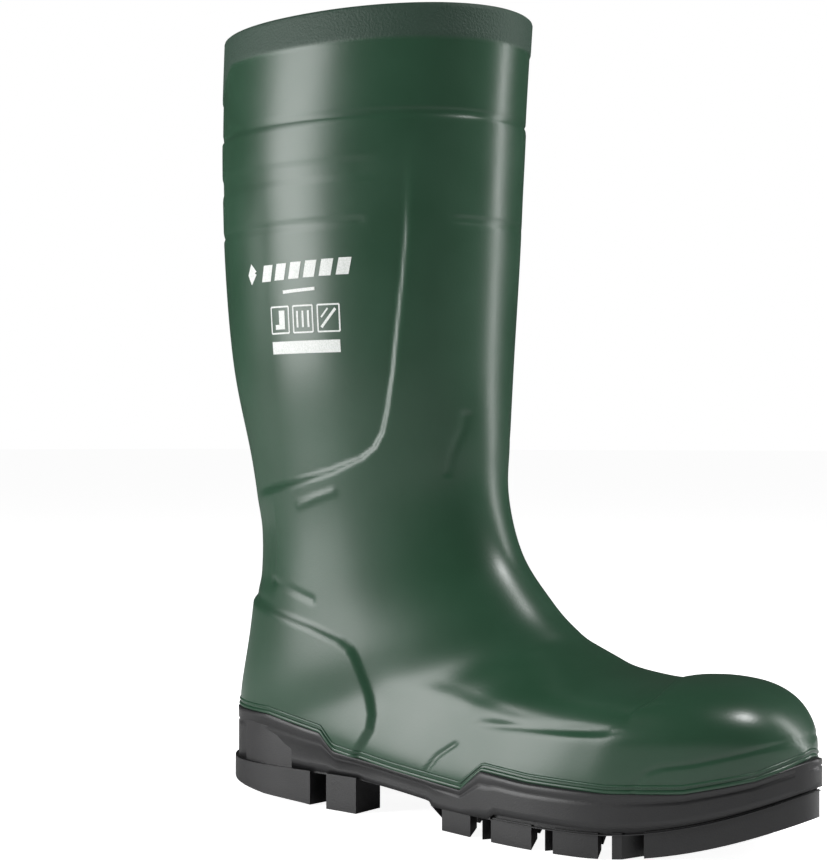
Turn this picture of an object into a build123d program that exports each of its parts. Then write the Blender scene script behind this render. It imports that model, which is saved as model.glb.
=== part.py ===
from build123d import *
from math import atan2, cos, degrees, pi, radians, sin, sqrt
import os

# ---------------------------------------------------------------------------
# Right wellington safety boot.  Millimetres, +Z up, +X towards the toe,
# +Y towards the inner (medial) side of the foot.  The origin is the middle of
# the bottom of the whole boot's box.  All profiles are drawn from the heel
# point, which is on the ground under the back of the heel.
# ---------------------------------------------------------------------------
HEEL_X = -152.25
HEEL_Y = -1.37

# sole, heights above the ground
TOE_SPRING_START = 230.0      # where the ground line starts to rise to the toe
TOE_SPRING_RADIUS = 212.0
LUG_HEIGHT = 10.0             # forefoot tread depth
HEEL_LUG_HEIGHT = 16.0
ARCH_HEIGHT = 12.5            # underside of the waist at its front end
TREAD_START = 146.0           # rear edge of the forefoot tread
HEEL_BREAST = 100.0           # front edge of the heel tread
HEEL_BULGE = 2.5              # the heel's lower half stands this far outside its wall

# tread
LATTICE_X = 286.0             # front vertex of the triangle lattice
LATTICE_Y = -5.0
LATTICE_TURN = 3.0            # degrees from the boot's length
PITCH = 34.5                  # side of one lattice triangle
COLUMN = PITCH * sqrt(3) / 2
CHANNEL = 6.0
SIPE = 1.2
SIPE_REACH = 0.36             # half length of a sipe, in lattice sides
SOLE_HALF_LENGTH = 157.0
SOLE_HALF_WIDTH = 50.0
TREAD_INSET = 0.8             # how far the lugs stand in from the side wall
TREAD_END = 330.0
TREAD_SLANT = 6.5             # lean of the forefoot tread's rear face
GROOVE_DEPTH = 1.7            # groove round the forefoot under the wall
GROOVE_START = 186.0
RIBS = 9                      # across the waist
RIB_START = 105.0
RIB_PITCH = 4.4
RIB_WIDTH = 2.4
RIB_HEIGHT = 1.2
FIT = 0.35                    # room between the upper and the outsole

# walls and layers
UPPER_WALL = 3.0
UPPER_FLOOR = 2.5             # thickness of the upper under the foot
LINING = 1.2
GAP = 0.5                     # room left between neighbouring layers
CAP_STEEL = 1.6
PLATE_STEEL = 0.6
BOARD = 2.0
FOAM = 3.5
CLOTH = 0.6
CAP_REAR = 245.0              # where the cap ends at its lower edge, from the heel
CAP_FLOOR = 22.4
CAP_EDGE = 5.0                # width of the strip behind the steel cap
LAYER_LIFT = 0.8              # the layers' lower corners clear the rounded floor by this
LAYER_ROOM = 1.6              # room beside the flat layers under the foot
PLATE_HEEL = 28.0             # heel and toe ends of the plate and board
PLATE_TOE = 295.0
FOOTBED_HEEL = 18.0
FOOTBED_TOE = 288.0
RIM_HEIGHT = 382.0
LINING_TOP = 378.0

# layer heights above the upper's underside; the corners of each floor rise a little
PLATE_LEVEL = UPPER_FLOOR + 1.4
BOARD_LEVEL = PLATE_LEVEL + PLATE_STEEL + 0.1
LINING_LEVEL = BOARD_LEVEL + BOARD + 0.2
FOAM_LEVEL = LINING_LEVEL + LINING + 1.5
CLOTH_LEVEL = FOAM_LEVEL + FOAM + 0.05

# how deep each layer's surface lies below the upper's outer surface
LINING_WALL = UPPER_WALL + GAP
LINING_TOE_WALL = LINING_WALL + CAP_STEEL + GAP

# first lattice row of each column, and the edges crossed by a sipe
FIRST_ROW = {-3: 0, -2: 1, -1: 0, 0: 0, 1: 0, 2: 0, 3: 0}
SIPES = [
    ((0, 0), (0, 1)), ((1, 1), (1, 2)), ((0, 1), (1, 1)), ((0, 2), (-1, 2)), ((-1, 2), (-2, 2)),
    ((1, 2), (2, 3)), ((-1, 3), (0, 4)), ((1, 3), (0, 4)), ((1, 3), (2, 4)), ((1, 0), (2, 1)),
]

# corners of the heel's blocks: inner side, outer side, rear pad; and the raised tongue
HEEL_BLOCKS = [
    [(100, 22), (100, 60), (90, 60), (79, 22)],
    [(75, 60), (66, 26), (57, 60)],
    [(57.5, 28), (50, 60), (30, 60), (36, 26)],
    [(100, -26), (100, -60), (84, -60), (77, -24)],
    [(72, -24), (69, -60), (61, -60), (60, -22)],
    [(54, -24), (58, -60), (46, -60), (40, -22)],
    [(-10, -60), (32, -60), (32, -22), (38, -14), (25, 0), (38, 14), (36, 22), (26, 60), (-10, 60)],
]
HEEL_SIDE = [(28, -37), (28, -60), (68.5, -60), (69.5, -37)]
HEEL_GROUND = [(-30, 14), (13, 6), (40, 2.6), (66, 1), (78, 0), (HEEL_BREAST + 5, 0)]
HEEL_TONGUE = [(108, -16), (108, 17), (60, 14), (36, 9), (27, 0), (36, -10), (60, -15)]

# Cross-sections of the upper, on planes that fan round from the level rim to
# the upright toe: back end x, z; front end x, z; outer and inner half width;
# squareness of the back half and of the front half; how much wider the back
# end is than the front; share of the wall's outward direction that is +X.
STATIONS = [
    (-11.0, 382.0, 160.0, 382.0, 55.5, 62.5, 2.1, 2.1, 0.00, 0.00),
    (-10.5, 335.0, 156.5, 334.0, 59.0, 62.0, 2.1, 2.1, 0.00, 0.00),
    (-9.0, 275.5, 154.0, 274.5, 59.5, 60.0, 2.1, 2.1, 0.00, 0.00),
    (-3.5, 215.5, 151.0, 218.0, 56.0, 55.5, 2.1, 2.1, 0.00, 0.00),
    (7.5, 164.0, 150.5, 179.0, 48.5, 49.0, 2.1, 2.1, 0.03, 0.00),
    (11.5, 123.5, 151.0, 152.0, 44.0, 44.5, 2.1, 2.1, 0.05, 0.00),
    (8.0, 83.0, 161.0, 123.0, 43.0, 43.0, 2.2, 2.1, 0.10, 0.00),
    (0.5, 46.0, 179.0, 100.5, 44.0, 42.5, 2.3, 2.2, 0.08, 0.00),
    (2.0, 34.0, 186.0, 94.0, 43.5, 42.0, 2.4, 2.2, 0.08, 0.00),
    (14.0, 27.0, 191.0, 90.0, 43.0, 41.5, 2.8, 2.2, 0.06, 0.00),
    (40.0, 25.0, 196.0, 86.0, 43.5, 42.0, 3.8, 2.2, 0.05, 0.00),
    (72.0, 23.0, 202.0, 82.5, 45.0, 43.0, 4.6, 2.3, 0.05, 0.00),
    (108.0, 18.5, 209.5, 79.0, 47.5, 44.5, 5.2, 2.3, 0.06, 0.00),
    (146.0, 14.5, 218.5, 74.5, 50.5, 47.0, 5.5, 2.4, 0.06, 0.00),
    (193.0, 14.0, 236.0, 71.0, 54.0, 50.0, 5.5, 2.5, 0.06, 0.00),
    (220.0, 14.0, 247.0, 71.0, 54.5, 51.5, 5.0, 2.5, 0.06, 0.02),
    (242.0, 15.0, 258.0, 72.0, 53.5, 52.0, 4.4, 2.6, 0.05, 0.05),
    (271.0, 17.5, 279.0, 73.0, 47.0, 46.0, 3.6, 2.6, 0.04, 0.20),
    (285.0, 20.5, 289.5, 71.6, 40.5, 39.8, 3.2, 2.5, 0.03, 0.32),
    (296.0, 24.5, 299.0, 67.0, 32.5, 32.0, 2.8, 2.5, 0.02, 0.50),
    (305.0, 30.5, 306.5, 60.0, 22.0, 22.0, 2.4, 2.3, 0.02, 0.80),
    (310.5, 37.0, 311.0, 52.5, 11.5, 12.0, 2.2, 2.2, 0.00, 0.95),
    (312.0, 41.0, 312.0, 48.0, 5.5, 5.5, 2.0, 2.0, 0.00, 1.00),
]
SEAT_STATION = 9              # from here on, the back end of a section lies under the foot
FLOOR_END = 18                # last station whose back end the foot's layers follow
TOE_STATION = 15              # from here on, the lining also passes under the steel cap
SECTION_POINTS = 28
STATION_STEPS = 2             # lofted sections for each step from one station to the next
LOFT_JOINTS = (0, 8, 15, 22)  # stations where one loft ends and the next begins

# sole outline seen from above: outer side from heel to toe, then inner side back
SOLE_OUTER = [
    (-2, 0), (4, -20), (20, -35.5), (60, -41.5), (102, -42.5), (143, -47.5),
    (183, -55.5), (213, -58.5), (242, -56), (272, -46), (292, -33.5), (307, -17.5),
]
SOLE_INNER = [
    (315.5, 1), (308, 17), (292, 31.5), (272, 44), (242, 53), (212, 53.5),
    (183, 47), (143, 40), (102, 38), (60, 40), (20, 35), (4, 19.5),
]

# top edge of the outsole's wall, seen from the side: high at the heel, down at
# the waist, a step up at the forefoot, then rising round the toe
WALL_TOP_HEEL = [(-30, 42), (42, 42), (79, 36.5), (87, 28.5), (125, 24), (167, 20.3), (179, 30.2)]
WALL_TOP_TOE = [(179, 30.2), (205, 28.4), (245, 28), (276, 30.3), (300, 35.8), (316, 43), (335, 56)]


def level(height):
    """Level drawing plane above the heel point."""
    return Plane(origin=(HEEL_X, HEEL_Y, height), x_dir=(1, 0, 0), z_dir=(0, 0, 1))


SIDE = Plane(origin=(HEEL_X, HEEL_Y, 0), x_dir=(1, 0, 0), z_dir=(0, -1, 0))
# place of the tread's lattice in the sole's outline
LATTICE = Location((LATTICE_X, LATTICE_Y, 0), (0, 0, -LATTICE_TURN))


def rounded_box_point(turn, front_power, back_power):
    """Point of a unit superellipse whose front and back halves differ in squareness."""
    power = front_power if cos(turn) > 0 else back_power
    a = abs(cos(turn)) ** (2 / power)
    b = abs(sin(turn)) ** (2 / power)
    return (a if cos(turn) > 0 else -a), (b if sin(turn) > 0 else -b)


def station_between(place):
    """Station at a fractional place in the list, on a Catmull-Rom curve through its neighbours."""
    i = min(int(place), len(STATIONS) - 2)
    t = place - i
    last = len(STATIONS) - 1
    around = [STATIONS[min(max(k, 0), last)] for k in (i - 1, i, i + 1, i + 2)]
    return tuple(
        p1 + t * (p2 - p0) / 2 + t * t * (p0 - 2.5 * p1 + 2 * p2 - p3 / 2)
        + t ** 3 * (1.5 * (p1 - p2) + (p3 - p0) / 2)
        for p0, p1, p2, p3 in zip(*around)
    )


def section_frame(station, wall, floor, sole_share):
    """Middle, direction, lengths behind and ahead of the middle, and side wall of the
    cross-section whose surface lies wall inside the upper's. Where the back end belongs
    to the sole it lies floor above the upper's underside instead."""
    back_x, back_z, front_x, front_z = station[:4]
    forward = min(station[9], 1)
    back = Vector(back_x, 0, back_z)
    front = Vector(front_x, 0, front_z)
    along = (front - back).normalized()
    half = (front - back).length / 2
    side_wall = wall * sqrt(1 - forward ** 2)
    sole_share *= 1 - forward
    rise = side_wall * (1 - sole_share)
    if sole_share > 0:
        rise += floor * sole_share / along.Z
    middle = (back + front) / 2 - Vector(wall * forward, 0, 0)
    return middle, along, half - rise, half - side_wall, side_wall


def cross_section(station, wall, floor, sole_share):
    """Closed cross-section of the space inside a wall and above a floor."""
    outer, inner, back_power, front_power, flare = station[4:9]
    middle, along, behind, ahead, side_wall = section_frame(station, wall, floor, sole_share)
    points = []
    for i in range(SECTION_POINTS):
        a, b = rounded_box_point(2 * pi * i / SECTION_POINTS, front_power, back_power)
        width = (inner if b > 0 else outer) - side_wall
        points.append(((ahead if a > 0 else behind) * a, width * b * (1 - flare * a)))
    origin = middle + Vector(HEEL_X, HEEL_Y, 0)
    with BuildSketch(Plane(origin=origin, x_dir=along, z_dir=(-along.Z, 0, along.X))) as section:
        with BuildLine():
            Spline(*points, periodic=True)
        make_face()
    return section.sketch


def sole_outline(inset=0):
    """Sole outline drawn in by about inset all round, or outwards if inset is negative."""
    shorter = 1 - inset / SOLE_HALF_LENGTH
    narrower = 1 - inset / SOLE_HALF_WIDTH
    points = [
        (SOLE_HALF_LENGTH + (x - SOLE_HALF_LENGTH) * shorter, y * narrower)
        for x, y in SOLE_OUTER + SOLE_INNER
    ]
    with BuildSketch() as outline:
        with BuildLine():
            Spline(*points, periodic=True)
        make_face()
    return outline.sketch


def layer_outline(wall, floor, height, heel, toe):
    """Outline of a flat layer that fits, height above the underside, in the space inside
    a wall and above a floor, from heel to toe."""
    outer_side = []
    inner_side = []
    for station in STATIONS[SEAT_STATION:FLOOR_END + 1]:
        middle, along, behind, _, side_wall = section_frame(station, wall, floor, 1)
        outer, inner, back_power, _, flare = station[4:9]
        rise = (height - LAYER_LIFT - floor) / along.Z
        a = rise / behind - 1
        share = (1 - abs(a) ** back_power) ** (1 / back_power) * (1 - flare * a)
        place = (middle + along * (rise - behind)).X
        outer_side.append((place, LAYER_ROOM - (outer - side_wall) * share))
        inner_side.append((place, (inner - side_wall) * share - LAYER_ROOM))
    with BuildSketch(level(0)) as outline:
        with BuildLine():
            Spline((heel, 0), *outer_side, (toe, 0), *reversed(inner_side), periodic=True)
        make_face()
    return outline.sketch


def floor_line(height, wall):
    """Side view of a floor, height above the upper's underside, in the space inside a wall."""
    ends = []
    for place in range(SEAT_STATION * STATION_STEPS, FLOOR_END * STATION_STEPS + 1):
        station = station_between(place / STATION_STEPS)
        middle, along, behind, _, _ = section_frame(station, wall, height, 1)
        end = middle - along * behind
        ends.append((end.X, end.Z))
    with BuildLine() as line:
        Polyline((-30, ends[0][1]), *ends, (335, ends[-1][1] + 20))
    return line.line


def ground_line(height, start):
    """The ground line with its toe spring, raised by height."""
    with BuildLine() as line:
        flat = Line((start, height), (TOE_SPRING_START, height))
        JernArc(start=flat @ 1, tangent=(1, 0), radius=TOE_SPRING_RADIUS - height, arc_size=30)
    return line.line


def wall_top_line(drop):
    """Top edge of the outsole's wall seen from the side, lowered by drop."""
    with BuildLine() as line:
        Polyline(*[(x, z - drop) for x, z in WALL_TOP_HEEL])
        Spline(*[(x, z - drop) for x, z in WALL_TOP_TOE])
    return line.line


def side_band(lower, upper):
    """Solid slab, across the whole boot, between two lines seen from the side."""
    with BuildPart() as slab:
        with BuildSketch(SIDE):
            with BuildLine():
                add(lower)
                add(upper)
                Line(lower @ 0, upper @ 0)
                Line(lower @ 1, upper @ 1)
            make_face()
        extrude(amount=100, both=True)
    return slab.part


def boot_volume(wall, floor, toe_wall=None):
    """The space inside the upper's surface moved inwards by wall, and at the toe by toe_wall."""
    toe_wall = wall if toe_wall is None else toe_wall
    sections = []
    for i in range((len(STATIONS) - 1) * STATION_STEPS + 1):
        place = i / STATION_STEPS
        toe_share = min(max(place - TOE_STATION + 1, 0), 1)
        sole_share = min(max(place - SEAT_STATION + 1, 0), 1)
        section_wall = wall + (toe_wall - wall) * toe_share
        sections.append(cross_section(station_between(place), section_wall, floor, sole_share))
    with BuildPart() as volume:
        for first, last in zip(LOFT_JOINTS, LOFT_JOINTS[1:]):
            loft(sections=sections[first * STATION_STEPS:last * STATION_STEPS + 1], ruled=True)
    return volume.part


# ---------------------------------------------------------------------------
# Upper: one moulding, leg and foot
# ---------------------------------------------------------------------------
outer_volume = boot_volume(0, 0)
outer_volume_grown = boot_volume(-FIT, -FIT)
cavity = boot_volume(UPPER_WALL, UPPER_FLOOR)
with BuildPart() as upper_shell:
    add(outer_volume)
    add(cavity, mode=Mode.SUBTRACT)
upper_shell.part.label = "upper_shell"

# ---------------------------------------------------------------------------
# Outsole: cup round the foot, then the tread under it
# ---------------------------------------------------------------------------
with BuildLine() as tread_floor:
    Polyline(
        (-30, HEEL_LUG_HEIGHT), (HEEL_BREAST, HEEL_LUG_HEIGHT), (TREAD_START, ARCH_HEIGHT),
        (TREAD_START + 2, LUG_HEIGHT), (TOE_SPRING_START, LUG_HEIGHT),
    )
    JernArc(
        start=(TOE_SPRING_START, LUG_HEIGHT), tangent=(1, 0),
        radius=TOE_SPRING_RADIUS - LUG_HEIGHT, arc_size=30,
    )

# the forefoot tread: triangles cut by channels along a triangle lattice
def lattice_vertex(column, row):
    """Place of a lattice vertex, rows running back from the toe."""
    return Vector(-(row + (column % 2) / 2) * PITCH, column * COLUMN)


def channel(start, end, width):
    """Straight slot of the tread between two lattice vertices."""
    run = end - start
    middle = (start + end) / 2
    with BuildSketch() as slot:
        with Locations((middle.X, middle.Y)):
            Rectangle(run.length + width, width, rotation=degrees(atan2(run.Y, run.X)))
    return slot.sketch


slots = []
for column in range(-3, 4):
    for row in range(FIRST_ROW[column], 5):
        start = lattice_vertex(column, row)
        slots.append(channel(start, lattice_vertex(column, row + 1), CHANNEL))
        next_rows = (row, row + 1) if column % 2 else (row - 1, row)
        for other in next_rows:
            if column < 3 and other >= FIRST_ROW[column + 1]:
                slots.append(channel(start, lattice_vertex(column + 1, other), CHANNEL))
for (start_column, start_row), (end_column, end_row) in SIPES:
    start = lattice_vertex(start_column, start_row)
    end = lattice_vertex(end_column, end_row)
    across = (end - start).rotate(Axis.Z, 90) * SIPE_REACH
    slots.append(channel((start + end) / 2 - across, (start + end) / 2 + across, SIPE))

with BuildSketch(level(0)) as forefoot_tread:
    add(sole_outline(TREAD_INSET))
    with Locations(((TREAD_START + TREAD_END) / 2, 0)):
        Rectangle(TREAD_END - TREAD_START, 200, mode=Mode.INTERSECT)
    add([LATTICE * slot for slot in slots], mode=Mode.SUBTRACT)

with BuildSketch(level(0)) as heel_tread:
    for corners in HEEL_BLOCKS + [HEEL_SIDE]:
        with BuildLine():
            Polyline(*corners, close=True)
        make_face()
    add(sole_outline(-HEEL_BULGE), mode=Mode.INTERSECT)

with BuildLine() as tread_root:
    Polyline(
        (TREAD_START, ARCH_HEIGHT + 1), (TREAD_START + 6, LUG_HEIGHT + 1),
        (TOE_SPRING_START, LUG_HEIGHT + 1),
    )
    JernArc(
        start=(TOE_SPRING_START, LUG_HEIGHT + 1), tangent=(1, 0),
        radius=TOE_SPRING_RADIUS - LUG_HEIGHT - 1, arc_size=28,
    )

with BuildLine() as heel_ground:
    Polyline(*HEEL_GROUND)
with BuildLine() as heel_root:
    Line((-30, HEEL_LUG_HEIGHT + 1), (HEEL_BREAST + 5, HEEL_LUG_HEIGHT + 1))
with BuildPart() as heel_blocks:
    add(heel_tread.sketch)
    extrude(amount=60)
    add(side_band(heel_ground.line, heel_root.line), mode=Mode.INTERSECT)

with BuildPart() as tread:
    add(forefoot_tread.sketch)
    extrude(amount=60)
    add(side_band(ground_line(0, TREAD_START + TREAD_SLANT), tread_root.line), mode=Mode.INTERSECT)
    add(heel_blocks.part)
    with BuildSketch(level(HEEL_LUG_HEIGHT - 2)):
        with BuildLine():
            Polyline(*HEEL_TONGUE, close=True)
        make_face()
    extrude(amount=3)

with BuildLine() as rib_bottom:
    Line((HEEL_BREAST, HEEL_LUG_HEIGHT - RIB_HEIGHT), (TREAD_START, ARCH_HEIGHT - RIB_HEIGHT))
with BuildLine() as rib_root:
    Line((HEEL_BREAST, HEEL_LUG_HEIGHT + 1), (TREAD_START, ARCH_HEIGHT + 1))
with BuildPart() as ribs:
    with BuildSketch(level(0)):
        for i in range(RIBS):
            with Locations((RIB_START + i * RIB_PITCH, 4)):
                Rectangle(RIB_WIDTH, 32)
    extrude(amount=60)
    add(side_band(rib_bottom.line, rib_root.line), mode=Mode.INTERSECT)

# groove round the forefoot between the wall and the lugs
with BuildPart() as wall_groove:
    with BuildSketch(level(0)):
        add(sole_outline(-GROOVE_DEPTH))
        add(sole_outline(GROOVE_DEPTH), mode=Mode.SUBTRACT)
    extrude(amount=60)
    add(
        side_band(
            ground_line(LUG_HEIGHT + 0.4, GROOVE_START), ground_line(LUG_HEIGHT + 2.8, GROOVE_START)
        ),
        mode=Mode.INTERSECT,
    )

with BuildPart() as cup:
    with BuildSketch(level(0)):
        add(sole_outline())
    extrude(amount=60)
    add(side_band(tread_floor.line, wall_top_line(0)), mode=Mode.INTERSECT)
    add(outer_volume_grown, mode=Mode.SUBTRACT)

with BuildPart() as outsole:
    add(cup.part)
    add(wall_groove.part, mode=Mode.SUBTRACT)
    add(tread.part)
    add(ribs.part)
outsole.part.label = "outsole"

# ---------------------------------------------------------------------------
# Lining: knitted sock bonded inside the leg and foot, running inside the cap
# ---------------------------------------------------------------------------
with BuildPart() as lining_sock:
    add(boot_volume(LINING_WALL, LINING_LEVEL, LINING_TOE_WALL))
    add(
        boot_volume(LINING_WALL + LINING, LINING_LEVEL + LINING, LINING_TOE_WALL + LINING),
        mode=Mode.SUBTRACT,
    )
    split(bisect_by=level(LINING_TOP), keep=Keep.BOTTOM)
lining_sock.part.label = "lining_sock"

# ---------------------------------------------------------------------------
# Steel impact cap over the toes, standing on the board, and its edge strip
# ---------------------------------------------------------------------------
toe_outside = boot_volume(LINING_WALL, UPPER_FLOOR)
toe_inside = boot_volume(LINING_WALL + CAP_STEEL, UPPER_FLOOR + CAP_STEEL)
cap_floor = Plane(origin=(HEEL_X + CAP_REAR, HEEL_Y, CAP_FLOOR), x_dir=(0, 1, 0), z_dir=(-0.19, 0, 1))
cap_rear = Plane(origin=(HEEL_X + CAP_REAR, HEEL_Y, CAP_FLOOR), x_dir=(0, 1, 0), z_dir=(1, 0, -0.25))
with BuildPart() as toe_shell:
    add(toe_outside)
    add(toe_inside, mode=Mode.SUBTRACT)
    split(bisect_by=cap_floor, keep=Keep.TOP)
with BuildPart() as toe_cap:
    add(toe_shell.part)
    split(bisect_by=cap_rear, keep=Keep.TOP)
toe_cap.part.label = "toe_cap"
with BuildPart() as toe_cap_edge_strip:
    add(toe_shell.part)
    split(bisect_by=cap_rear.offset(-0.1), keep=Keep.BOTTOM)
    split(bisect_by=cap_rear.offset(-0.1 - CAP_EDGE), keep=Keep.TOP)
toe_cap_edge_strip.part.label = "toe_cap_edge_strip"

# ---------------------------------------------------------------------------
# Flat layers under the foot
# ---------------------------------------------------------------------------
BED_WALL = LINING_TOE_WALL + LINING
BED_FLOOR = LINING_LEVEL + LINING
LAYERS = [
    ("steel_midsole", UPPER_WALL, UPPER_FLOOR, PLATE_LEVEL, PLATE_STEEL, PLATE_HEEL, PLATE_TOE),
    ("insole_board", UPPER_WALL, UPPER_FLOOR, BOARD_LEVEL, BOARD, PLATE_HEEL, PLATE_TOE),
    ("footbed_foam", BED_WALL, BED_FLOOR, FOAM_LEVEL, FOAM, FOOTBED_HEEL, FOOTBED_TOE),
    ("footbed_cloth", BED_WALL, BED_FLOOR, CLOTH_LEVEL, CLOTH, FOOTBED_HEEL, FOOTBED_TOE),
]
pieces = [upper_shell.part, outsole.part, lining_sock.part, toe_cap.part, toe_cap_edge_strip.part]
for name, wall, floor, height, thickness, heel, toe in LAYERS:
    with BuildPart() as layer:
        add(layer_outline(wall, floor, height, heel, toe))
        extrude(amount=60)
        add(
            side_band(floor_line(height, wall), floor_line(height + thickness, wall)),
            mode=Mode.INTERSECT,
        )
    layer.part.label = name
    pieces.append(layer.part)

os.makedirs("parts", exist_ok=True)
for piece in pieces:
    export_step(piece, f"parts/{piece.label}.step")
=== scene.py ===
from math import cos, pi, radians, sin

import bpy
import numpy as np
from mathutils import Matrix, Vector
from mathutils.bvhtree import BVHTree


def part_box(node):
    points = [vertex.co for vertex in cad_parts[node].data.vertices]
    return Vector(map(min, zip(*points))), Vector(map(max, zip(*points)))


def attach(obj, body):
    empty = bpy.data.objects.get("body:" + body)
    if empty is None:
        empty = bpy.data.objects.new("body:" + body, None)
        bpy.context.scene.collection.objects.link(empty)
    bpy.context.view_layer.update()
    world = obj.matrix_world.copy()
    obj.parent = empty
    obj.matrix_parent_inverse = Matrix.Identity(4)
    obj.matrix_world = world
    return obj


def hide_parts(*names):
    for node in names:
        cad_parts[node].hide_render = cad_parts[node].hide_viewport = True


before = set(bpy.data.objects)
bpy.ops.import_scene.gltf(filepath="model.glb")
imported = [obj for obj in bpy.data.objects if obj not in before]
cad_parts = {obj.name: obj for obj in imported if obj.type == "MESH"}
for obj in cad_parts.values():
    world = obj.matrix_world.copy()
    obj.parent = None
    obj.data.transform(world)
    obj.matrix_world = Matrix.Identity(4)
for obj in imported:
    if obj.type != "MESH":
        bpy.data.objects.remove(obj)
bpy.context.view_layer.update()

# ---------------------------------------------------------------------------
# A green wellington safety boot.  Shapes below are in millimetres from the
# heel point, and mm() turns them into the frame's metres.
# ---------------------------------------------------------------------------
HEEL = np.array([-152.25, -1.37, 0.0])

# Cross-sections of the upper: back end x, z; front end x, z; outer and inner
# half width; squareness of the back half and front half; flare; forward share.
STATIONS = np.array([
    (-11.0, 382.0, 160.0, 382.0, 55.5, 62.5, 2.1, 2.1, 0.00, 0.00),
    (-10.5, 335.0, 156.5, 334.0, 59.0, 62.0, 2.1, 2.1, 0.00, 0.00),
    (-9.0, 275.5, 154.0, 274.5, 59.5, 60.0, 2.1, 2.1, 0.00, 0.00),
    (-3.5, 215.5, 151.0, 218.0, 56.0, 55.5, 2.1, 2.1, 0.00, 0.00),
    (7.5, 164.0, 150.5, 179.0, 48.5, 49.0, 2.1, 2.1, 0.03, 0.00),
    (11.5, 123.5, 151.0, 152.0, 44.0, 44.5, 2.1, 2.1, 0.05, 0.00),
    (8.0, 83.0, 161.0, 123.0, 43.0, 43.0, 2.2, 2.1, 0.10, 0.00),
    (0.5, 46.0, 179.0, 100.5, 44.0, 42.5, 2.3, 2.2, 0.08, 0.00),
    (2.0, 34.0, 186.0, 94.0, 43.5, 42.0, 2.4, 2.2, 0.08, 0.00),
    (14.0, 27.0, 191.0, 90.0, 43.0, 41.5, 2.8, 2.2, 0.06, 0.00),
    (40.0, 25.0, 196.0, 86.0, 43.5, 42.0, 3.8, 2.2, 0.05, 0.00),
    (72.0, 23.0, 202.0, 82.5, 45.0, 43.0, 4.6, 2.3, 0.05, 0.00),
    (108.0, 18.5, 209.5, 79.0, 47.5, 44.5, 5.2, 2.3, 0.06, 0.00),
    (146.0, 14.5, 218.5, 74.5, 50.5, 47.0, 5.5, 2.4, 0.06, 0.00),
    (193.0, 14.0, 236.0, 71.0, 54.0, 50.0, 5.5, 2.5, 0.06, 0.00),
    (220.0, 14.0, 247.0, 71.0, 54.5, 51.5, 5.0, 2.5, 0.06, 0.02),
    (242.0, 15.0, 258.0, 72.0, 53.5, 52.0, 4.4, 2.6, 0.05, 0.05),
    (271.0, 17.5, 279.0, 73.0, 47.0, 46.0, 3.6, 2.6, 0.04, 0.20),
    (285.0, 20.5, 289.5, 71.6, 40.5, 39.8, 3.2, 2.5, 0.03, 0.32),
    (296.0, 24.5, 299.0, 67.0, 32.5, 32.0, 2.8, 2.5, 0.02, 0.50),
    (305.0, 30.5, 306.5, 60.0, 22.0, 22.0, 2.4, 2.3, 0.02, 0.80),
    (310.5, 37.0, 311.0, 52.5, 11.5, 12.0, 2.2, 2.2, 0.00, 0.95),
    (312.0, 41.0, 312.0, 48.0, 5.5, 5.5, 2.0, 2.0, 0.00, 1.00),
])
SEAT_STATION = 9              # from here on, the lower side is the foot's floor
TOE_STATION = 15              # from here on, the wall leaves room for the toe cap

# Outline of the sole seen from above: heel to toe outside, then back inside
SOLE_OUTER = [
    (-2, 0), (4, -20), (20, -35.5), (60, -41.5), (102, -42.5), (143, -47.5),
    (183, -55.5), (213, -58.5), (242, -56), (272, -46), (292, -33.5), (307, -17.5),
]
SOLE_INNER = [
    (315.5, 1), (308, 17), (292, 31.5), (272, 44), (242, 53), (212, 53.5),
    (183, 47), (143, 40), (102, 38), (60, 40), (20, 35), (4, 19.5),
]

# Top edge of the outsole's wall, seen from the side
WALL_TOP = np.array([
    (-30, 42), (42, 42), (79, 36.5), (87, 28.5), (125, 24), (167, 20.3), (179, 30.2),
    (205, 28.4), (245, 28), (276, 30.3), (300, 35.8), (316, 43),
])
UPPER_WALL = 3.0


def mm(points):
    """Millimetres from the heel point to metres in the frame."""
    return (np.asarray(points, float) + HEEL) * 0.001


def smooth(value, low, high):
    """0 below low, 1 above high, eased between."""
    t = np.clip((value - low) / (high - low), 0, 1)
    return t * t * (3 - 2 * t)


def spline(p0, p1, p2, p3, t):
    """Point at t between p1 and p2 on a smooth curve through all four."""
    return (
        p1 + t * (p2 - p0) / 2 + t * t * (p0 - 2.5 * p1 + 2 * p2 - p3 / 2)
        + t ** 3 * (1.5 * (p1 - p2) + (p3 - p0) / 2)
    )


def unit(vectors):
    """Vectors scaled to length 1."""
    return vectors / (np.linalg.norm(vectors, axis=-1, keepdims=True) + 1e-9)


def around(values):
    """Difference between each ring point's two neighbours."""
    return np.roll(values, -1, axis=0) - np.roll(values, 1, axis=0)


def new_object(name, vertices, faces, material, body):
    mesh = bpy.data.meshes.new(name)
    mesh.from_pydata([tuple(v) for v in vertices], [], [tuple(f) for f in faces])
    mesh.update()
    mesh.polygons.foreach_set("use_smooth", [True] * len(mesh.polygons))
    made = bpy.data.objects.new(name, mesh)
    bpy.context.scene.collection.objects.link(made)
    mesh.materials.append(material)
    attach(made, body)
    return made


# ---------------------------------------------------------------------------
# Smooth grid over the boot's surface
# ---------------------------------------------------------------------------
def station_between(place):
    """Cross-section values at a place counted in stations."""
    i = min(int(place), len(STATIONS) - 2)
    return spline(*STATIONS[np.clip([i - 1, i, i + 1, i + 2], 0, len(STATIONS) - 1)], place - i)


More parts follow.
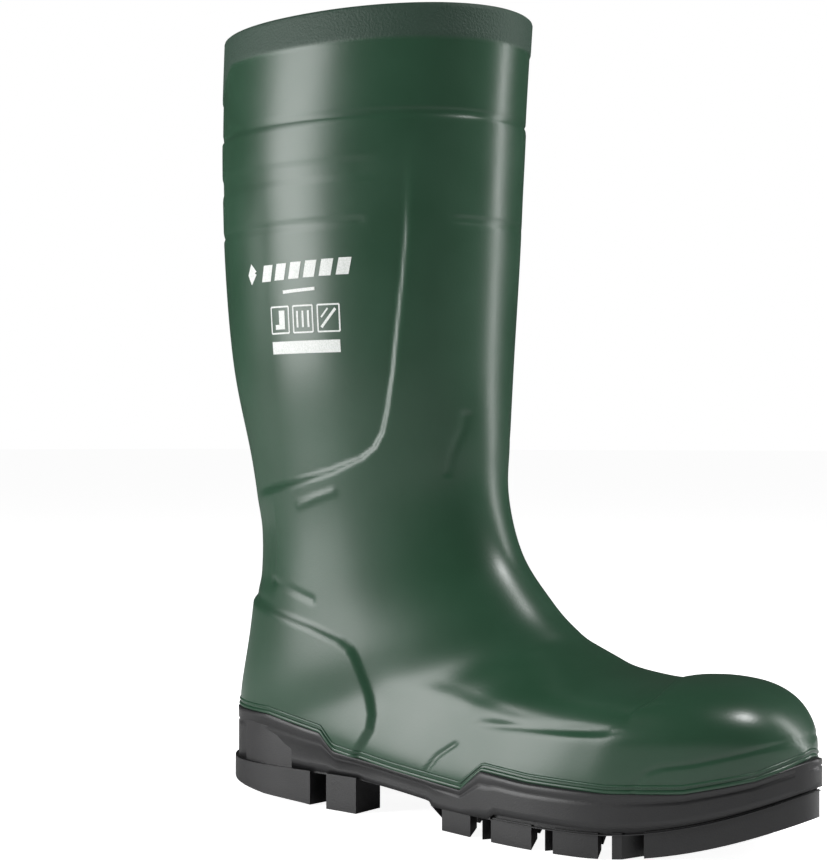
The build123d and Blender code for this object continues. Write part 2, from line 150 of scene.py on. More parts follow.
def section(place, wall, floor, count):
    """Evenly spaced ring of points round the space inside a wall and above a floor."""
    back_x, back_z, front_x, front_z, outer, inner, back_power, front_power, flare, forward = (
        station_between(place)
    )
    forward = min(max(forward, 0), 1)
    back = np.array([back_x, 0, back_z])
    front = np.array([front_x, 0, front_z])
    along = (front - back) / np.linalg.norm(front - back)
    half = np.linalg.norm(front - back) / 2
    side_wall = wall * (1 - forward ** 2) ** 0.5
    sole_share = min(max(place - SEAT_STATION + 1, 0), 1) * (1 - forward)
    rise = side_wall * (1 - sole_share)
    if sole_share > 0:
        rise += floor * sole_share / along[2]
    turn = np.linspace(0, 2 * pi, 1441)
    # blend the two halves' squareness over the middle of the side
    share = smooth(np.cos(turn), -0.35, 0.35)
    power = back_power + (front_power - back_power) * share
    a = np.sign(np.cos(turn)) * np.abs(np.cos(turn)) ** (2 / power)
    b = np.sign(np.sin(turn)) * np.abs(np.sin(turn)) ** (2 / power)
    reach = np.where(a > 0, half - side_wall, half - rise)
    width = np.where(b > 0, inner, outer) - side_wall
    middle = (back + front) / 2 - np.array([wall * forward, 0, 0])
    ring = middle + np.outer(reach * a, along)
    ring[:, 1] += width * b * (1 - flare * a)
    steps = np.linalg.norm(np.diff(ring, axis=0), axis=1)
    length = np.concatenate([[0], np.cumsum(steps)])
    even = np.linspace(0, length[-1], count, endpoint=False)
    return np.stack([np.interp(even, length, ring[:, k]) for k in range(3)], 1)


def places(spacing, start):
    """Row places with about equal distances between the rows' ends."""
    fine = np.linspace(start, len(STATIONS) - 1, 2201)
    ends = np.array([station_between(p)[:4] for p in fine])
    step = np.diff(ends, axis=0)
    length = np.maximum(np.hypot(step[:, 0], step[:, 1]), np.hypot(step[:, 2], step[:, 3]))
    total = np.concatenate([[0], np.cumsum(length)])
    return np.interp(np.linspace(0, total[-1], int(total[-1] / spacing)), total, fine)


def boot_grid(spacing, count, start, wall=0.0, floor=0.0, toe_wall=None):
    """Rows of points from the rim to the toe, set in from the outside by wall and floor."""
    toe_wall = wall if toe_wall is None else toe_wall
    rows = []
    for place in places(spacing, start):
        toe_share = min(max(place - TOE_STATION + 1, 0), 1)
        rows.append(section(place, wall + (toe_wall - wall) * toe_share, floor, count))
    return np.array(rows)


def ease_rows(grid, reach):
    """Evens out the surface along the boot, keeping its two ends."""
    kernel = np.exp(-0.5 * (np.arange(-3 * reach, 3 * reach + 1) / reach) ** 2)
    kernel /= kernel.sum()
    pad = 3 * reach
    before = 2 * grid[0] - grid[pad:0:-1]
    after = 2 * grid[-1] - grid[-2:-pad - 2:-1]
    padded = np.concatenate([before, grid, after])
    out = np.zeros_like(grid)
    for k, weight in enumerate(kernel):
        out += weight * padded[k:k + len(grid)]
    return out


def grid_normals(grid):
    """Outward directions at the points of a grid."""
    down = np.gradient(grid, axis=0)
    round_ = np.roll(grid, -1, axis=1) - np.roll(grid, 1, axis=1)
    normal = unit(np.cross(round_, down))
    middle = grid.mean(axis=1, keepdims=True)
    if ((grid - middle) * normal).sum() < 0:
        normal = -normal
    return normal


def grid_faces(rows, columns):
    """Quads between rings of points."""
    faces = []
    for i in range(rows - 1):
        for j in range(columns):
            k = (j + 1) % columns
            here = i * columns
            below = here + columns
            faces.append((here + j, here + k, below + k, below + j))
    return faces


# ---------------------------------------------------------------------------
# Moulded features of the upper, as heights in mm over the smooth surface.
# Lines are seen from the side and repeat on the inner side of the leg.
# ---------------------------------------------------------------------------
def line_distance(x, z, line):
    """Distance to a line and the side of it, positive on its left."""
    best = np.full(x.shape, 1e9)
    side = np.ones(x.shape)
    for (x0, z0), (x1, z1) in zip(line, line[1:]):
        dx, dz = x1 - x0, z1 - z0
        t = np.clip(((x - x0) * dx + (z - z0) * dz) / (dx * dx + dz * dz), 0, 1)
        distance = np.hypot(x - x0 - t * dx, z - z0 - t * dz)
        cross = dx * (z - z0) - dz * (x - x0)
        nearer = distance < best - 1e-6
        best = np.where(nearer, distance, best)
        side = np.where(nearer, np.sign(cross), side)
    return best, side


def groove(distance, width, depth):
    """Soft-edged groove as a height below the surface."""
    return -depth * np.exp(-(distance / (0.5 * width)) ** 2)


RIM_BAND_FOOT = 366.8
RIM_TAB_DROP = 16.5
UPPER_RING = 331
LOWER_RING = 281
RING_WIDTH = 2.4
RING_DEPTH = 0.8
PANEL_DEPTH = 2.0
COUNTER_RISE = 2.0
CAP_EDGE = 252
CAP_STEP = 1.5
PANEL = [
    (131, 330), (130.5, 300), (129.5, 275), (127.7, 255), (124.8, 232), (121.8, 210),
    (118, 192.5), (114.5, 181), (110, 174), (103, 169), (85.5, 162.5), (67, 158.1),
    (51.7, 155), (20, 149), (-20, 143),
]
COUNTER = [
    (-20, 104), (20, 97.5), (44.4, 93), (72, 87), (90, 81.5), (96.5, 78), (100, 73),
    (104, 64), (108, 56), (110.5, 48), (110, 41), (106, 35), (98, 25),
]
UNDER_PANEL = [(63.6, 146), (75.4, 149.8), (87, 153.1)]
OVER_COUNTER = [(40, 108), (57.9, 104.3), (71.7, 100.2)]
SHIN_LINE = [(146, 190), (145, 183), (141.7, 172), (139.5, 162)]
FOOT_CREASE = [(174, 50.5), (197, 51.7), (219, 52.3), (243, 54)]
WAIST_LINE = [(162.2, 40.3), (152.4, 33.9), (145.6, 25.8)]
BUMPER = [
    (254, 27), (257.4, 33.4), (262, 38.5), (268, 41), (281.5, 43.3), (297.5, 47.6),
    (306.2, 50.2), (311.2, 51.4), (320, 52),
]


def features(points):
    """Heights of the moulded features, and how far each point is in the rim band."""
    x, y, z = points[..., 0], points[..., 1], points[..., 2]
    height = np.zeros(x.shape)

    # stippled rim band with a rounded tab down the back
    tab = smooth(46 - np.abs(y), 0, 14) * smooth(42 - x, 0, 20)
    band = smooth(z - (RIM_BAND_FOOT - RIM_TAB_DROP * tab), -0.9, 0.9)
    height += 0.55 * band

    # two fine rings round the leg, the lower one broken over the shin panel
    height += groove(z - UPPER_RING, RING_WIDTH, RING_DEPTH)
    height += 0.35 * smooth(UPPER_RING - z, 0, 2) * smooth(z, 290, 326)
    broken = smooth(x, 108, 114) * (1 - smooth(x, 143, 149))
    height += (1 - broken) * groove(z - LOWER_RING, RING_WIDTH, RING_DEPTH)

    # shallow soft band between the rings
    shallow = smooth(z, 300.5, 303) * (1 - smooth(z, 309, 312)) * (1 - smooth(x, 108, 122))
    height -= 0.6 * shallow

    # large recessed panel down the side of the leg
    distance, side = line_distance(x, z, PANEL)
    inside = smooth(-side * distance, -1.7, 1.7)
    height -= PANEL_DEPTH * inside * (1 - smooth(z, 268, 322)) * smooth(x, 22, 52)

    distance, _ = line_distance(x, z, UNDER_PANEL)
    height += 0.55 * np.exp(-(distance / 1.5) ** 2)

    # narrower strip over the Achilles tendon
    strip = (1 - smooth(x, 41.5, 45.5)) * smooth(z, 100, 110) * (1 - smooth(z, 132, 150))
    height -= 0.9 * strip

    # raised heel counter
    distance, side = line_distance(x, z, COUNTER)
    inside = smooth(-side * distance, -2.1, 2.1)
    height += COUNTER_RISE * inside * (1 - smooth(z, 104, 112))
    distance, _ = line_distance(x, z, OVER_COUNTER)
    height += groove(distance, 2.6, 0.7)

    # fine folds of the leg and foot
    distance, _ = line_distance(x, z, SHIN_LINE)
    height += groove(distance, 2.4, 0.5)
    distance, side = line_distance(x, z, FOOT_CREASE)
    ends = smooth(x, 166, 190) * (1 - smooth(x, 226, 256))
    lower = -side * distance
    height += ends * (groove(distance, 4.2, 0.9) + 1.3 * np.exp(-((lower + 9) / 6.5) ** 2))
    distance, _ = line_distance(x, z, WAIST_LINE)
    height += groove(distance, 1.9, 0.6)

    # toe cap: a soft step over the instep, fading down the sides, and the bumper's outline
    edge = CAP_EDGE + 6.5 * smooth(np.abs(y), 0, 33) - 6 * smooth(np.abs(y), 36, 46)
    front = smooth(x - edge, -1.3, 1.3) * (1 - smooth(x, 262, 288))
    height += CAP_STEP * front * smooth(z, 57, 66)
    distance, _ = line_distance(x, z, BUMPER)
    height += groove(distance, 1.9, 0.5)
    return height, band


UPPER_COLUMNS = 300
UPPER_SPACING = 1.72
UPPER_START = 0.032
LIP_RISE = 1.5


def upper_mesh():
    """Featured outside, rolled lip and the visible inside of the upper."""
    columns = UPPER_COLUMNS
    grid = ease_rows(boot_grid(UPPER_SPACING, columns, UPPER_START), 3)
    normal = grid_normals(grid)
    height, band = features(grid)
    skin = grid + normal * height[..., None]
    # rolled lip and the top of the wall's inner side
    inner = boot_grid(3.0, columns, UPPER_START, wall=UPPER_WALL)[:18]
    middle = (skin[0] + inner[0]) / 2
    lip = []
    for i in range(1, 6):
        turn = pi * i / 6
        row = middle + (skin[0] - middle) * cos(turn)
        row[:, 2] = skin[0][:, 2] + LIP_RISE * sin(turn)
        lip.append(row)
    rows = np.concatenate([inner[::-1], np.array(lip)[::-1], skin])
    mask = np.concatenate([np.ones(len(inner) + len(lip))[:, None].repeat(columns, 1), band])
    faces = grid_faces(len(rows), columns)
    tip = rows[-1].mean(axis=0) + (0.6, 0, 0)
    vertices = np.concatenate([rows.reshape(-1, 3), [tip]])
    first = (len(rows) - 1) * columns
    for j in range(columns):
        faces.append((first + j, first + (j + 1) % columns, len(vertices) - 1))
    return vertices, faces, np.concatenate([mask.reshape(-1), [0]]), skin


# ---------------------------------------------------------------------------
# Materials
# ---------------------------------------------------------------------------
def material(name, color, roughness, specular=0.5):
    made = bpy.data.materials.new(name)
    made.use_nodes = True
    tree = made.node_tree
    shader = tree.nodes["Principled BSDF"]
    shader.inputs["Base Color"].default_value = (*color, 1)
    shader.inputs["Roughness"].default_value = roughness
    shader.inputs["Specular IOR Level"].default_value = specular
    return made, tree, shader


def noise(tree, scale, detail):
    node = tree.nodes.new("ShaderNodeTexNoise")
    node.inputs["Scale"].default_value = scale
    node.inputs["Detail"].default_value = detail
    node.inputs["Roughness"].default_value = 0.5
    coordinates = tree.nodes.new("ShaderNodeTexCoord")
    tree.links.new(coordinates.outputs["Object"], node.inputs["Vector"])
    return node


def remap(tree, source, low, high, from_low=0.3, from_high=0.7):
    node = tree.nodes.new("ShaderNodeMapRange")
    node.inputs["From Min"].default_value = from_low
    node.inputs["From Max"].default_value = from_high
    node.inputs["To Min"].default_value = low
    node.inputs["To Max"].default_value = high
    tree.links.new(source, node.inputs["Value"])
    return node.outputs["Result"]


def mix_colors(tree, factor, first, second):
    node = tree.nodes.new("ShaderNodeMix")
    node.data_type = "RGBA"
    tree.links.new(factor, node.inputs["Factor"])
    for socket, color in ((6, first), (7, second)):
        if isinstance(color, tuple):
            node.inputs[socket].default_value = (*color, 1)
        else:
            tree.links.new(color, node.inputs[socket])
    return node.outputs[2]


def bump(tree, shader, height, strength, distance):
    node = tree.nodes.new("ShaderNodeBump")
    node.inputs["Distance"].default_value = distance
    if isinstance(strength, float):
        node.inputs["Strength"].default_value = strength
    else:
        tree.links.new(strength, node.inputs["Strength"])
    tree.links.new(height, node.inputs["Height"])
    tree.links.new(node.outputs["Normal"], shader.inputs["Normal"])


def green_pvc():
    """Satin moulded PVC, slightly mottled, with fine grain on the rim band."""
    made, tree, shader = material("upper_pvc", (0.022, 0.066, 0.036), 0.4)
    patches = noise(tree, 22, 4)
    specks = noise(tree, 900, 2)
    mottle = remap(tree, patches.outputs["Fac"], 0, 1)
    base = mix_colors(tree, mottle, (0.0195, 0.060, 0.032), (0.0245, 0.071, 0.040))
    band = tree.nodes.new("ShaderNodeAttribute")
    band.attribute_name = "band"
    color = mix_colors(tree, band.outputs["Fac"], base, (0.018, 0.047, 0.030))
    tree.links.new(color, shader.inputs["Base Color"])
    rough = tree.nodes.new("ShaderNodeMix")
    tree.links.new(band.outputs["Fac"], rough.inputs["Factor"])
    tree.links.new(remap(tree, patches.outputs["Fac"], 0.30, 0.36), rough.inputs["A"])
    rough.inputs["B"].default_value = 0.62
    tree.links.new(rough.outputs["Result"], shader.inputs["Roughness"])
    grain = remap(tree, band.outputs["Fac"], 0.05, 0.55, 0, 1)
    bump(tree, shader, specks.outputs["Fac"], grain, 0.0006)
    return made


def rubber():
    """Black moulded sole, a little lighter and rougher in patches."""
    made, tree, shader = material("outsole_rubber", (0.022, 0.022, 0.024), 0.42)
    patches = noise(tree, 30, 5)
    grain = noise(tree, 1400, 3)
    mottle = remap(tree, patches.outputs["Fac"], 0, 1)
    color = mix_colors(tree, mottle, (0.012, 0.012, 0.013), (0.021, 0.021, 0.022))
    tree.links.new(color, shader.inputs["Base Color"])
    tree.links.new(remap(tree, patches.outputs["Fac"], 0.34, 0.5), shader.inputs["Roughness"])
    bump(tree, shader, grain.outputs["Fac"], 0.18, 0.0004)
    return made


def knit(name, dark, light, scale):
    """Ribbed knitted cloth."""
    made, tree, shader = material(name, light, 0.85, 0.2)
    shader.inputs["Sheen Weight"].default_value = 0.35
    cells = tree.nodes.new("ShaderNodeTexVoronoi")
    cells.inputs["Scale"].default_value = scale
    coordinates = tree.nodes.new("ShaderNodeTexCoord")
    tree.links.new(coordinates.outputs["Object"], cells.inputs["Vector"])
    tone = remap(tree, cells.outputs["Distance"], 1, 0, 0, 0.7)
    tree.links.new(mix_colors(tree, tone, dark, light), shader.inputs["Base Color"])
    bump(tree, shader, tone, 0.6, 0.0006)
    return made


def ink():
    """White screen-printed ink, slightly uneven."""
    made, tree, shader = material("white_ink", (0.78, 0.80, 0.78), 0.5)
    patches = noise(tree, 1600, 4)
    mottle = remap(tree, patches.outputs["Fac"], 0, 1)
    color = mix_colors(tree, mottle, (0.62, 0.66, 0.62), (0.84, 0.85, 0.84))
    tree.links.new(color, shader.inputs["Base Color"])
    return made


def steel(name, color, roughness):
    """Pressed sheet steel with a fine uneven finish."""
    made, tree, shader = material(name, color, roughness)
    shader.inputs["Metallic"].default_value = 0.9
    brushed = noise(tree, 500, 4)
    rough = remap(tree, brushed.outputs["Fac"], roughness - 0.1, roughness + 0.1)
    tree.links.new(rough, shader.inputs["Roughness"])
    bump(tree, shader, brushed.outputs["Fac"], 0.1, 0.0002)
    return made


def plain_stock(name, color, roughness, scale):
    """Board or soft strip with a fine grain."""
    made, tree, shader = material(name, color, roughness)
    grain = noise(tree, scale, 4)
    lighter = tuple(min(1, c * 1.35 + 0.01) for c in color)
    mottled = mix_colors(tree, remap(tree, grain.outputs["Fac"], 0, 1), color, lighter)
    tree.links.new(mottled, shader.inputs["Base Color"])
    bump(tree, shader, grain.outputs["Fac"], 0.2, 0.0003)
    return made


GREEN = green_pvc()
RUBBER = rubber()
KNIT = knit("lining_knit", (0.16, 0.165, 0.16), (0.42, 0.43, 0.41), 620)
BED_CLOTH = knit("footbed_fabric", (0.06, 0.065, 0.07), (0.17, 0.18, 0.19), 700)
INK = ink()

# ---------------------------------------------------------------------------
# Upper
# ---------------------------------------------------------------------------
vertices, faces, band_mask, skin = upper_mesh()
upper = new_object("upper", mm(vertices), faces, GREEN, "boot")
attribute = upper.data.attributes.new("band", "FLOAT", "POINT")
attribute.data.foreach_set("value", band_mask.astype(np.float32))
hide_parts("upper_shell")
surface = BVHTree.FromPolygons([tuple(v) for v in vertices], faces)


# ---------------------------------------------------------------------------
# Lining and footbed
# ---------------------------------------------------------------------------
LINING_WALL = 4.7
LINING_TOE_WALL = 7.3
LINING_COLUMNS = 120
LINING_START = 0.085
BED_FLOOR = 9.0
HEM_SHARE = 0.28              # from the lining towards the outside of the upper
HEM_DROP = 8


def lining_points():
    """Inside of the leg and foot, with a hem folded back under the rim."""
    rows = boot_grid(
        4.0, LINING_COLUMNS, LINING_START,
        wall=LINING_WALL, floor=BED_FLOOR, toe_wall=LINING_TOE_WALL,
    )
    picked = np.linspace(0, len(skin[0]) - 1, LINING_COLUMNS).astype(int)
    hem = rows[0] + (skin[0][picked] - rows[0]) * HEM_SHARE
    hem[:, 2] = rows[0][:, 2]
    low_hem = hem.copy()
    low_hem[:, 2] -= HEM_DROP
    return np.concatenate([[low_hem, hem], rows])


lining_rows = lining_points()
lining = new_object(
    "lining", mm(lining_rows.reshape(-1, 3)), grid_faces(len(lining_rows), LINING_COLUMNS),
    KNIT, "boot",
)
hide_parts("lining_sock")

# Height of the footbed's underside along the foot
BED_UNDERSIDE = np.array([
    (14, 37), (40, 35), (72, 33), (108, 29.5), (146, 25.3), (193, 24.5), (220, 24.5),
    (242, 25.5), (271, 28), (288, 30.5),
])
BED_ROWS = 61
BED_COLUMNS = 25
BED_MARGIN = 9.5              # from the outside of the upper to the footbed's edge
BED_EDGE = 1.0
BED_CROWN = 3.6
BED_LAST_STATION = 19
BED_STATION_SHIFT = 22        # from a section's back end to where it meets the footbed


def footbed_piece():
    """Crowned footbed, thin at its edges, filling the floor of the boot."""
    low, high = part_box("footbed_foam")
    heel_x = low[0] * 1000 - HEEL[0]
    toe_x = high[0] * 1000 - HEEL[0]
    across = np.linspace(-1, 1, BED_COLUMNS)
    crown = 1 - np.abs(across) ** 4
    station_x = STATIONS[SEAT_STATION:BED_LAST_STATION, 0] + BED_STATION_SHIFT
    top = []
    bottom = []
    for s in np.linspace(0, 1, BED_ROWS):
        x = heel_x + (toe_x - heel_x) * s
        ends = (1 - (2 * s - 1) ** 8) ** 0.5 if 0 < s < 1 else 0.04
        place = np.interp(x, station_x, np.arange(SEAT_STATION, BED_LAST_STATION))
        outer, inner = station_between(place)[4:6]
        floor = np.interp(x, BED_UNDERSIDE[:, 0], BED_UNDERSIDE[:, 1])
        y = across * np.where(across < 0, outer - BED_MARGIN, inner - BED_MARGIN) * ends
        level_x = np.full(BED_COLUMNS, x)
        top.append(np.stack([level_x, y, floor + BED_EDGE + BED_CROWN * crown], 1))
        bottom.append(np.stack([level_x, y, floor + 0.6 * (1 - crown)], 1))
    points = np.concatenate([np.array(top).reshape(-1, 3), np.array(bottom).reshape(-1, 3)])
    width = BED_COLUMNS
    under = BED_ROWS * width
    faces = []
    for i in range(BED_ROWS - 1):
        for j in range(width - 1):
            a = i * width + j
            faces.append((a, a + width, a + width + 1, a + 1))
            faces.append((under + a, under + a + 1, under + a + width + 1, under + a + width))
        for j, order in ((0, 1), (width - 1, -1)):
            a = i * width + j
            faces.append((a, under + a, under + a + width, a + width)[::order])
    for i, order in ((0, 1), (BED_ROWS - 1, -1)):
        for j in range(width - 1):
            a = i * width + j
            faces.append((a, under + a, under + a + 1, a + 1)[::order])
    return points, faces


points, faces = footbed_piece()
footbed = new_object("footbed_pad", mm(points), faces, BED_CLOTH, "footbed")
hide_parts("footbed_foam", "footbed_cloth")

# ---------------------------------------------------------------------------
# Outsole wall: a rubber band that wraps the foot of the upper all round
# ---------------------------------------------------------------------------
WALL_COVER = 0.9              # rubber over the widest parts of the upper
WALL_GROOVE = 0.6             # depth of the fine line below the wall's top edge
TOE_SPRING_START = 230.0
TOE_SPRING_RADIUS = 212.0
OUTLINE_STEPS = 24            # points between two corners of the sole's outline
WALL_START = 14               # rays towards the upper begin this far outside
WALL_RAY = 20
WALL_EVENING = 5              # neighbours on each side that even out the wall
# Rows of the wall: share of its height, distance in from its face
WALL_ROWS = [
    (0.0, 3.0), (0.0, 0.0), (0.2, 0.0), (0.4, 0.0), (0.6, 0.0), (0.70, 0.0),
    (0.74, WALL_GROOVE), (0.78, 0.0), (0.9, 0.0), (0.97, 0.1), (1.0, 0.7), (1.0, 4.5),
]


def outline_points():
    """Even points round the sole's outline with their outward directions."""
    corners = np.array(SOLE_OUTER + SOLE_INNER, float)
    points = []
    count = len(corners)
    for i in range(count):
        near = corners[[(i - 1) % count, i, (i + 1) % count, (i + 2) % count]]
        for t in np.linspace(0, 1, OUTLINE_STEPS, endpoint=False):
            points.append(spline(*near, t))
    points = np.array(points)
    tangent = around(points)
    outward = unit(np.stack([-tangent[:, 1], tangent[:, 0]], 1))
    if ((points - points.mean(axis=0)) * outward).sum() < 0:
        outward = -outward
    return points, outward


def wall_top(x):
    """Height of the wall's top edge."""
    return np.interp(x, WALL_TOP[:, 0], WALL_TOP[:, 1])


def wall_foot(x):
    """Height where the wall meets the lugs."""
    past = np.clip(x - TOE_SPRING_START, 0, None)
    rise = TOE_SPRING_RADIUS - np.sqrt(TOE_SPRING_RADIUS ** 2 - past ** 2)
    return np.interp(x, (100, 104, 146, 150, 184, 188), (17, 16, 12.5, 10, 10, 12.8)) + rise


def wall_reach(points, outward, heights):
    """How far the wall stands out from the outline to cover the upper."""
    reach = np.full(len(points), 0.3)
    for i, ((x, y), (out_x, out_y), z) in enumerate(zip(points, outward, heights)):
        start = Vector((x + WALL_START * out_x, y + WALL_START * out_y, z))
        hit, _, _, distance = surface.ray_cast(start, Vector((-out_x, -out_y, 0)), WALL_RAY)
        if hit is not None:
            reach[i] = max(reach[i], WALL_START - distance + WALL_COVER)
    shifts = range(-WALL_EVENING, WALL_EVENING + 1)
    widest = np.max([np.roll(reach, k) for k in shifts], axis=0)
    return np.mean([np.roll(widest, k) for k in shifts], axis=0)


def sole_wall():
    """Rubber band with a fine line round it and a closed top edge."""
    points, outward = outline_points()
    foot = wall_foot(points[:, 0])
    top = wall_top(points[:, 0]) + 0.2
    rows = []
    for share, inset in WALL_ROWS:
        height = foot + share * (top - foot)
        reach = wall_reach(points, outward, height) - inset
        rows.append(np.column_stack([points + outward * reach[:, None], height]))
    rows = np.array(rows)
    faces = grid_faces(len(rows), len(points))
    new_object("sole_wall", mm(rows.reshape(-1, 3)), faces, RUBBER, "boot")


sole_wall()


# ---------------------------------------------------------------------------
# Welt: two fine green beads along the top of the outsole
# ---------------------------------------------------------------------------
BEAD_SIDES = 8
BEAD_START = 12


def bead(name, lift, radius, sink):
    """Bead round the upper, its middle sunk a little into the surface."""
    points, outward = outline_points()
    path = []
    for (x, y), (out_x, out_y) in zip(points, outward):
        start = Vector((x + BEAD_START * out_x, y + BEAD_START * out_y, wall_top(x) + lift))
        hit, _, _, _ = surface.ray_cast(start, Vector((-out_x, -out_y, 0)))
        if hit is not None:
            path.append(np.array(hit) - sink * np.array([out_x, out_y, 0]))
    path = np.array(path)
    count = len(path)
    tangent = unit(around(path))
    side = unit(np.cross(tangent, [0, 0, 1]))
    above = np.cross(side, tangent)
    rings = []
    for k in range(BEAD_SIDES):
        turn = 2 * pi * k / BEAD_SIDES
        rings.append(path + radius * (cos(turn) * side + sin(turn) * above))
    vertices = np.stack(rings, 1).reshape(-1, 3)
    faces = []
    for i in range(count):
        here = i * BEAD_SIDES
        after = (i + 1) % count * BEAD_SIDES
        for k in range(BEAD_SIDES):
            m = (k + 1) % BEAD_SIDES
            faces.append((here + k, here + m, after + m, after + k))
    new_object(name, mm(vertices), faces, GREEN, "boot")


bead("welt_low", 0.9, 1.1, 0.2)
bead("welt_high", 3.4, 0.7, 0.1)

# ---------------------------------------------------------------------------
# Printed marks on the side of the leg: plain shapes, no lettering
# ---------------------------------------------------------------------------
mark_vertices = []
mark_faces = []


def printed(corners, along, across):
    """Patch between four corners seen from the side, laid on the leg's outer side."""
    p = np.array(corners, float)
    first = len(mark_vertices)
    for i in range(along + 1):
        s = i / along
        for j in range(across + 1):
            t = j / across
            x, z = (1 - t) * ((1 - s) * p[0] + s * p[1]) + t * ((1 - s) * p[3] + s * p[2])
            hit, normal, _, _ = surface.ray_cast(Vector((x, -90, z)), Vector((0, 1, 0)))
            mark_vertices.append(np.array(hit) + np.array([0.15 * normal.x, -0.15, 0]))
    for i in range(along):
        for j in range(across):
            a = first + i * (across + 1) + j
            mark_faces.append((a, a + 1, a + across + 2, a + across + 1))


def printed_stroke(x0, z0, x1, z1, width):
    """Straight printed line of a given width."""
    length = ((x1 - x0) ** 2 + (z1 - z0) ** 2) ** 0.5
    out_x = -(z1 - z0) / length * width / 2
    out_z = (x1 - x0) / length * width / 2
    corners = [
        (x0 - out_x, z0 - out_z), (x1 - out_x, z1 - out_z),
        (x1 + out_x, z1 + out_z), (x0 + out_x, z0 + out_z),
    ]
    printed(corners, max(2, int(length / 1.5)), 1)


# a bar mark of slanted blocks with a fine line below
printed([(41, 254), (45, 259), (43.5, 259.8), (38.5, 259)], 4, 2)
printed([(38.5, 259), (43.5, 259.8), (45, 260.5), (41, 264.5)], 4, 2)
for i in range(6):
    left = 49 + 9.4 * i
    lower = 255 + 0.25 * i
    upper_edge = lower + 8
    printed([(left, lower), (left + 6.6, lower), (left + 8.4, upper_edge), (left + 1.8, upper_edge)], 5, 6)
printed_stroke(64, 249.4, 84, 250.2, 1.6)

# three framed squares with plain shapes in them, and a blank bar below
for left in (55.2, 70.2, 85.2):
    right = left + 12
    for z in (229.6, 242.4):
        printed_stroke(left, z, right, z, 0.8)
    for x in (left, right):
        printed_stroke(x, 229.6, x, 242.4, 0.8)
printed([(58, 231.5), (64.5, 231.5), (64.5, 233.8), (58, 233.8)], 4, 2)
printed([(60.6, 233.8), (64.5, 233.8), (64.5, 240.6), (60.6, 240.6)], 3, 5)
for i in range(3):
    printed_stroke(72.8 + 3.4 * i, 232, 72.8 + 3.4 * i, 240, 1.2)
printed_stroke(87.2, 231.6, 95.2, 240.4, 1.4)
printed_stroke(87.2, 236.4, 91, 240.6, 0.9)
printed([(55, 219.6), (97, 219.6), (97, 225.6), (55, 225.6)], 28, 4)
new_object("printed_marks", mm(mark_vertices), mark_faces, INK, "boot")

# ---------------------------------------------------------------------------
# CAD pieces that stay
# ---------------------------------------------------------------------------
def dress(node, made):
    """Gives a CAD piece its material."""
    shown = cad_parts[node]
    if not shown.data.materials:
        shown.data.materials.append(made)
    for slot in shown.material_slots:
        slot.material = made
    return shown


outsole = dress("outsole", RUBBER)
edges = outsole.modifiers.new("soft_edges", "BEVEL")
edges.width = 0.0006
edges.segments = 2
edges.limit_method = "ANGLE"
edges.angle_limit = radians(35)
dress("toe_cap", steel("cap_steel", (0.1, 0.1, 0.11), 0.45))
dress("steel_midsole", steel("plate_steel", (0.55, 0.56, 0.57), 0.35))
dress("insole_board", plain_stock("board_fibre", (0.36, 0.29, 0.19), 0.8, 300))
dress("toe_cap_edge_strip", plain_stock("edge_strip", (0.03, 0.03, 0.03), 0.6, 400))

# ---------------------------------------------------------------------------
# Floor, light and camera
# ---------------------------------------------------------------------------
floor_material, floor_tree, floor_shader = material("floor", (0.95, 0.95, 0.95), 0.7, 0.1)
floor_shader.inputs["Emission Color"].default_value = (1, 1, 1, 1)
floor_rays = floor_tree.nodes.new("ShaderNodeLightPath")
floor_tree.links.new(
    remap(floor_tree, floor_rays.outputs["Is Camera Ray"], 0.04, 0.93, 0, 1),
    floor_shader.inputs["Emission Strength"],
)
bpy.ops.mesh.primitive_plane_add(size=60, location=(0, 0, -0.0002))
ground = bpy.context.object
ground.name = "floor"
ground.data.materials.append(floor_material)

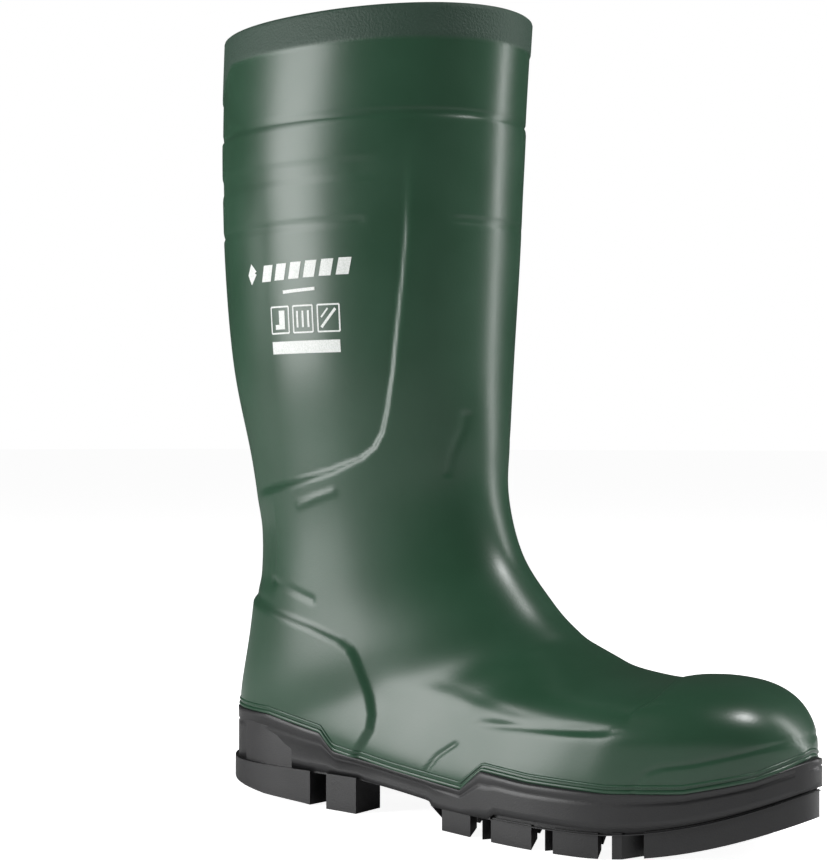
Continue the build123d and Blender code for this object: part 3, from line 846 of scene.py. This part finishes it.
world = bpy.data.worlds.new("studio")
bpy.context.scene.world = world
world.use_nodes = True
tree = world.node_tree
background = tree.nodes["Background"]
background.inputs["Color"].default_value = (1, 1, 1, 1)
background.inputs["Strength"].default_value = 0.045
backdrop = tree.nodes.new("ShaderNodeBackground")
backdrop.inputs["Color"].default_value = (1, 1, 1, 1)
backdrop.inputs["Strength"].default_value = 1.0
chooser = tree.nodes.new("ShaderNodeMixShader")
rays = tree.nodes.new("ShaderNodeLightPath")
tree.links.new(rays.outputs["Is Camera Ray"], chooser.inputs["Fac"])
tree.links.new(background.outputs["Background"], chooser.inputs[1])
tree.links.new(backdrop.outputs["Background"], chooser.inputs[2])
tree.links.new(chooser.outputs["Shader"], tree.nodes["World Output"].inputs["Surface"])

AZIMUTH = radians(37.47)
ELEVATION = radians(-0.35)
DISTANCE = 973.77
back = np.array([sin(AZIMUTH) * cos(ELEVATION), -cos(AZIMUTH) * cos(ELEVATION), sin(ELEVATION)])
aim = np.array([55.03, 59.21, 183.34])
eye = Vector(mm(aim + back * DISTANCE))
target = Vector(mm(aim))
camera_data = bpy.data.cameras.new("camera")
camera = bpy.data.objects.new("camera", camera_data)
bpy.context.scene.collection.objects.link(camera)
camera.location = eye
camera.rotation_euler = (target - eye).to_track_quat("-Z", "Y").to_euler()
camera_data.sensor_width = 36
camera_data.lens = 75.94
camera_data.clip_start = 0.05
bpy.context.scene.camera = camera


def area(name, place, look, width, height, power):
    """Soft box at a place, turned to a point."""
    data = bpy.data.lights.new(name, "AREA")
    data.shape = "RECTANGLE"
    data.size = width
    data.size_y = height
    data.energy = power
    lamp = bpy.data.objects.new(name, data)
    bpy.context.scene.collection.objects.link(lamp)
    lamp.location = place
    lamp.rotation_euler = (Vector(look) - Vector(place)).to_track_quat("-Z", "Y").to_euler()


middle = Vector((0, 0, 0.17))
area("key_left", (-0.95, -1.1, 0.42), middle, 0.62, 1.25, 24)
area("rim_right", (0.98, 0.98, 0.42), middle, 0.2, 1.15, 9)
area("toe_top", (0.98, 0.1, 1.35), (0.12, 0, 0.06), 0.32, 0.32, 15)

scene = bpy.context.scene
scene.view_settings.view_transform = "Standard"
